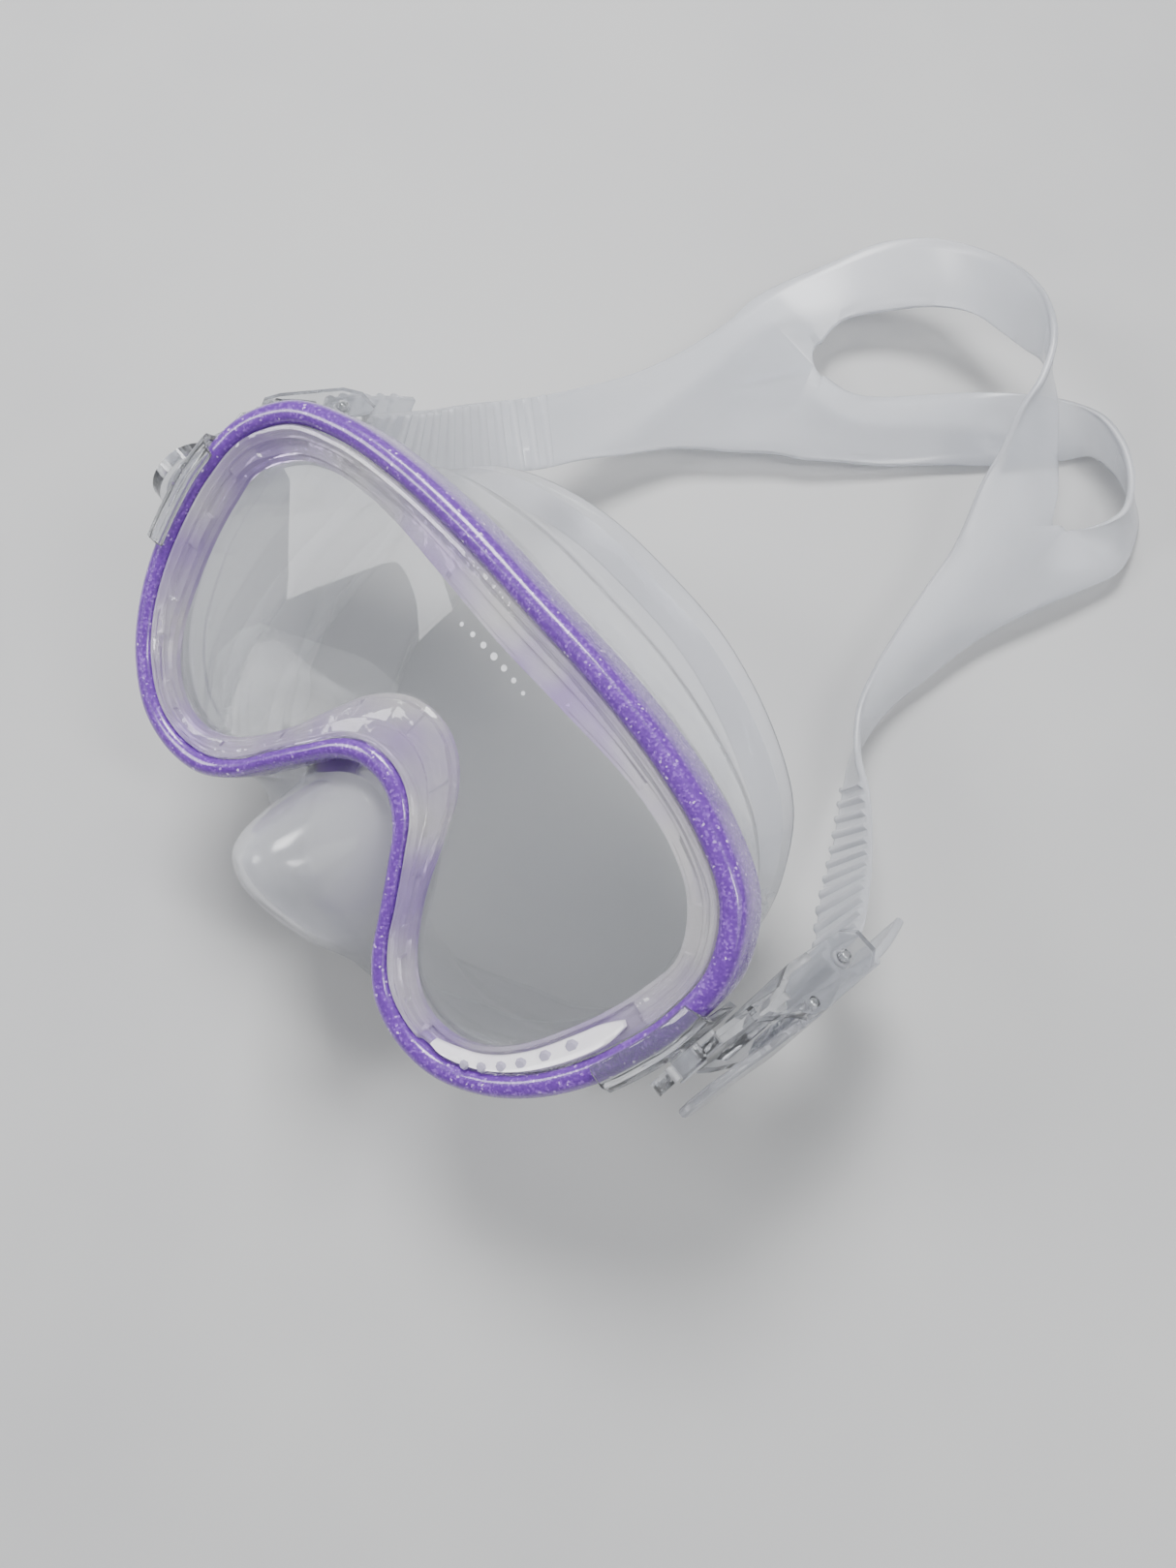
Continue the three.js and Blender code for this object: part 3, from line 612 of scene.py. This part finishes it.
RIGHT = [
    [(27, 143, 16.5), (55, 168, 5.5)], [(30, 131, 15), (51, 154, 6)], [(34, 117, 15), (47, 137, 5)],
    [(38, 105, 15.5), (46, 121, 4)], [(43, 95, 16.5), (45.5, 106, 2.6)],
    [(50.5, 87, 17.5), (49, 92, 1.4)], [(60, 79.5, 22.5), (56, 80.5, 6)],
    [(69.5, 70, 27), (65, 67, 11)], [(76, 61, 33.5), (73, 53.5, 18.5)],
] + THREADED[::-1]
HOLE_ENDS = [Vector((-38.5, 159, 8)), Vector((40, 171, 12.7))]
SPLIT = (len(LEFT) - 1, len(LEFT) + len(UPPER))  # rows between which the strap is in two bands


def strap_edges():
    """The four edges of the strap: upper, upper band's inner, lower band's inner, lower."""
    def middle(pair):
        return Vector(pair[0]).lerp(Vector(pair[1]), 0.5)

    up = [p[0] for p in LEFT] + [p[0] for p in UPPER] + [p[0] for p in RIGHT]
    down = [p[1] for p in LEFT] + [p[1] for p in LOWER] + [p[1] for p in RIGHT]
    left, right = [middle(p) for p in LEFT], [middle(p) for p in RIGHT]
    left[-1] = HOLE_ENDS[0]
    right[0] = HOLE_ENDS[1]
    upper_in = left + [Vector(p[1]) for p in UPPER] + right
    lower_in = left + [Vector(p[0]) for p in LOWER] + right
    return [spline(p) for p in (up, upper_in, lower_in, down)]


STRAP_EDGES = strap_edges()
ROWS = len(LEFT) + len(UPPER) + len(RIGHT)


def strap_points(t):
    """The four edge points at row t, with the ends of the hole made round."""
    a, hu, hl, b = [e(t) for e in STRAP_EDGES]
    for end, sign in ((SPLIT[0], 1), (SPLIT[1], -1)):
        x = (t - end) * sign
        tip = STRAP_EDGES[1](end)
        if 0 < x < 1:
            along = ((a + b) / 2 - (STRAP_EDGES[0](end) + STRAP_EDGES[3](end)) / 2).normalized()
            out = []
            for edge in STRAP_EDGES[1:3]:
                full = edge(end + sign) - tip
                run = along * full.dot(along)
                side = full - run
                q = x * math.pi / 2
                out.append(tip + run * (1 - math.cos(q)) + side * math.sin(q))
            hu, hl = out
    return a, hu, hl, b


def strap_mesh(name, t0, t1, per, ribs, body_pair, blend_at, nodes):
    """Rows t0 to t1 of the strap as one skin; ribs are (first, last, pitch) in mm of length."""
    n = round((t1 - t0) * per)
    ts = [lerp(t0, t1, i / n) for i in range(n + 1)]
    for end in SPLIT:
        ts += [end + (k / 12) ** 2 * s for k in range(1, 12) for s in (1, -1)]

    def mid(t):
        a, _, _, b = (e(t) for e in STRAP_EDGES)
        return (a + b) / 2

    marks = {}
    for lo, hi, first, last, pitch in ribs:
        fine = [lerp(lo, hi, i / 600) for i in range(601)]
        run, lengths = 0, [0]
        for p, q in zip(fine, fine[1:]):
            run += (mid(p) - mid(q)).length
            lengths.append(run)

        def at_length(x):
            i = next((k for k, v in enumerate(lengths) if v >= x), len(lengths) - 1)
            return fine[i] if i == 0 else lerp(
                fine[i - 1], fine[i], (x - lengths[i - 1]) / (lengths[i] - lengths[i - 1]))

        x = first
        while x < last:
            for k, h in ((0, 0), (0.05, 0.3), (0.14, 0.78), (0.22, RIB_H), (0.36, RIB_H),
                         (0.44, 0.78), (0.53, 0.3), (0.58, 0)):
                marks[at_length(x + k * pitch)] = h
            x += pitch
    ts = sorted({round(t, 5): t for t in ts + list(marks) if t0 <= t <= t1}.values())

    def rib(t):
        keys = sorted(marks)
        if not keys or t <= keys[0] or t >= keys[-1]:
            return marks.get(t, 0)
        i = next(k for k, v in enumerate(keys) if v >= t)
        p, q = keys[i - 1], keys[i]
        return lerp(marks[p], marks[q], (t - p) / (q - p))

    half = STRAP_T / 2
    points, faces, previous = [], [], None
    for t in ts:
        a, hu, hl, b = strap_points(t)
        ahead = (mid(min(t + 0.01, ROWS - 1)) - mid(max(t - 0.01, 0))).normalized()
        split = SPLIT[0] < t < SPLIT[1]
        h = rib(t)
        row = []
        for edge, inner in ((a, hu), (b, hl)):
            away = (edge - inner).normalized()
            local = ahead
            if split:
                e = STRAP_EDGES[0] if edge is a else STRAP_EDGES[3]
                i = STRAP_EDGES[1] if edge is a else STRAP_EDGES[2]
                local = (e(t + 0.02) + i(t + 0.02) - e(t - 0.02) - i(t - 0.02)).normalized()
            up = local.cross(away if edge is a else -away).normalized()
            strip = []
            for k in (0, 0.18, 0.4, 0.65, 0.85):
                strip.append(inner.lerp(edge - away * 0.5, k) + up * (half + h))
            strip.append(edge - away * 0.5 + up * (half + h))
            strip.append(edge - away * 0.12 + up * (half * 0.7 + h))
            strip.append(edge)
            strip.append(edge - away * 0.12 - up * half * 0.7)
            strip.append(edge - away * 0.5 - up * half)
            for k in (0.85, 0.65, 0.4, 0.18, 0):
                strip.append(inner.lerp(edge - away * 0.5, k) - up * half)
            if split:
                strip += [inner - away * 0.3 - up * 0.55, inner - away * 0.38, inner - away * 0.3
                          + up * 0.55]
            row.append((len(points), len(strip)))
            points += [Vector(p) for p in strip]
        if previous:
            for (s0, n0), (s1, n1) in zip(previous, row):
                base = min(n0, n1)
                whole = n0 == n1 == 18
                for j in range(base if whole else 14):
                    k = (j + 1) % base if whole else j + 1
                    faces.append((s0 + j, s1 + j, s1 + k, s0 + k))
                if n0 != n1:
                    wide, thin = (s1, s0) if n1 > n0 else (s0, s1)
                    faces += [(thin + 14, wide + 14, wide + 15, wide + 16),
                              (thin, wide, wide + 17, wide + 16), (thin, thin + 14, wide + 16)]
        else:
            first = row
        previous = row
    for ends, closed in ((first, t0 == 0), (previous, t1 == ROWS - 1)):
        if closed:
            (s0, _), (s1, _) = ends
            faces.append(tuple(range(s0, s0 + 15)) + tuple(range(s1 + 14, s1 - 1, -1)))
    points = [on_floor(p + TABLE) for p in points]
    obj = make(name, points, faces, slot="strap_silicone", replaces=nodes, sharp=50, ride=False)
    dress(obj, strap_mat)
    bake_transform(obj, *body_pair, *[(p + TABLE) * MM for p in blend_at])
    return obj


SEAM = SPLIT[1] + 5  # row where the strap's right end piece takes over
RIB_PITCH = 4.2
leave_right = in_buckle(52, 0, -4)  # where the strap leaves the buckle and starts to bend
leave_left = Vector((-leave_right.x, leave_right.y, leave_right.z))
strap_mesh("strap_left_and_bands", 0, SEAM, 5, [(0, SPLIT[0] - 3, 4, 94, RIB_PITCH)],
           ("buckle_left", "mask"), (leave_left, leave_left + Vector((16, 32, -18))), ["strap"])
strap_mesh("strap_right_end", SEAM, ROWS - 1, 5, [(SEAM + 0.6, ROWS - 1, 2, 84, RIB_PITCH)],
           ("buckle_right", "mask"), (leave_right, leave_right + Vector((-20, 28, -17))), [])

# ------------------------------------------------------------ buckles and other small parts
def refine(node, body, mat, width):
    """A moulded version of a CAD node: same shape, with rounded edges."""
    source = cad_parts[node]
    mesh = source.data.copy()
    obj = bpy.data.objects.new(node + "_moulding", mesh)
    bpy.context.scene.collection.objects.link(obj)
    bm = bmesh.new()
    bm.from_mesh(mesh)
    bmesh.ops.remove_doubles(bm, verts=bm.verts, dist=2e-6)
    bmesh.ops.dissolve_limit(bm, angle_limit=math.radians(1.5), verts=bm.verts, edges=bm.edges)
    bmesh.ops.recalc_face_normals(bm, faces=bm.faces)
    bm.to_mesh(mesh)
    bm.free()
    for layer in list(mesh.attributes):
        if layer.name == "custom_normal":
            mesh.attributes.remove(layer)
    mod = obj.modifiers.new("edges", "BEVEL")
    mod.width = width * MM
    mod.segments = 2
    mod.limit_method = "ANGLE"
    mod.angle_limit = math.radians(28)
    mod.use_clamp_overlap = True
    mod.harden_normals = False
    shade(obj, 40)
    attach(obj, body)
    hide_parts(node)
    return dress(obj, mat)


for side in ("right", "left"):
    refine(f"buckle_body_{side}", f"buckle_{side}", buckle_mat, 0.35)
    refine(f"buckle_bracket_{side}", "mask", buckle_mat, 0.25)
    refine(f"release_lever_{side}", f"lever_{side}", lever_mat, 0.35)
    refine(f"swivel_pin_{side}", "mask", pin_mat, 0.3)
    refine(f"strap_roller_{side}", f"roller_{side}", roller_mat, 0.2)
    for node in (f"roller_axle_{side}", f"lever_pin_{side}"):
        refine(node, f"buckle_{side}", steel_mat, 0.2)
    dress(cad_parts[f"lever_spring_{side}"], steel_mat)
    shade(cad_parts[f"lever_spring_{side}"], 60)
for i in range(6):
    dress(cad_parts[f"gem_{i + 1}"], gem_mat)

# ------------------------------------------------------------ floor, light and camera
bpy.ops.mesh.primitive_plane_add(size=6)
floor = bpy.context.object
floor.name = "floor"
floor_mat, n_, l_, b_ = material("floor_look", (0.62, 0.62, 0.62), 0.6)
varied(n_, l_, b_, (0.54, 0.54, 0.535), (0.50, 0.50, 0.505), 14, (0.5, 0.65))
dress(floor, floor_mat)

world = bpy.data.worlds.new("studio")
bpy.context.scene.world = world
world.use_nodes = True
world.node_tree.nodes["Background"].inputs["Color"].default_value = (0.92, 0.95, 1.0, 1)
world.node_tree.nodes["Background"].inputs["Strength"].default_value = 0.38


def softbox(name, at, to, size, power, size_y=None):
    """An area light at one point, facing another."""
    light = bpy.data.lights.new(name, "AREA")
    light.energy = power
    light.shape = "RECTANGLE"
    light.size, light.size_y = size, size_y or size
    obj = bpy.data.objects.new(name, light)
    obj.location = at
    obj.rotation_euler = (Vector(to) - Vector(at)).to_track_quat("-Z", "Y").to_euler()
    bpy.context.scene.collection.objects.link(obj)


softbox("key", (-0.55, 0.30, 1.05), (0, -0.02, 0.03), 0.45, 17)
softbox("fill", (0.9, 0.4, 0.8), (0, 0, 0.03), 0.8, 3)
softbox("sparkle", (0.42, 0.10, 0.75), (0.03, -0.03, 0.05), 0.10, 2.2, 0.30)
softbox("lens_panel", (-0.62, -0.62, 0.72), (-0.02, -0.08, 0.06), 0.30, 4.5, 0.36)

camera = bpy.data.objects.new("camera", bpy.data.cameras.new("camera"))
bpy.context.scene.collection.objects.link(camera)
bpy.context.scene.camera = camera
camera.data.lens = 28.1
camera.data.sensor_width = 36
camera.data.clip_start = 0.01
right, up, back = (0.6437, 0.7653, 0), (-0.7274, 0.6118, 0.3110), (0.2380, -0.2002, 0.9504)
axes = Matrix((right, up, back)).transposed().to_4x4()
camera.matrix_world = Matrix.Translation((0.0841, -0.1080, 0.2901)) @ axes
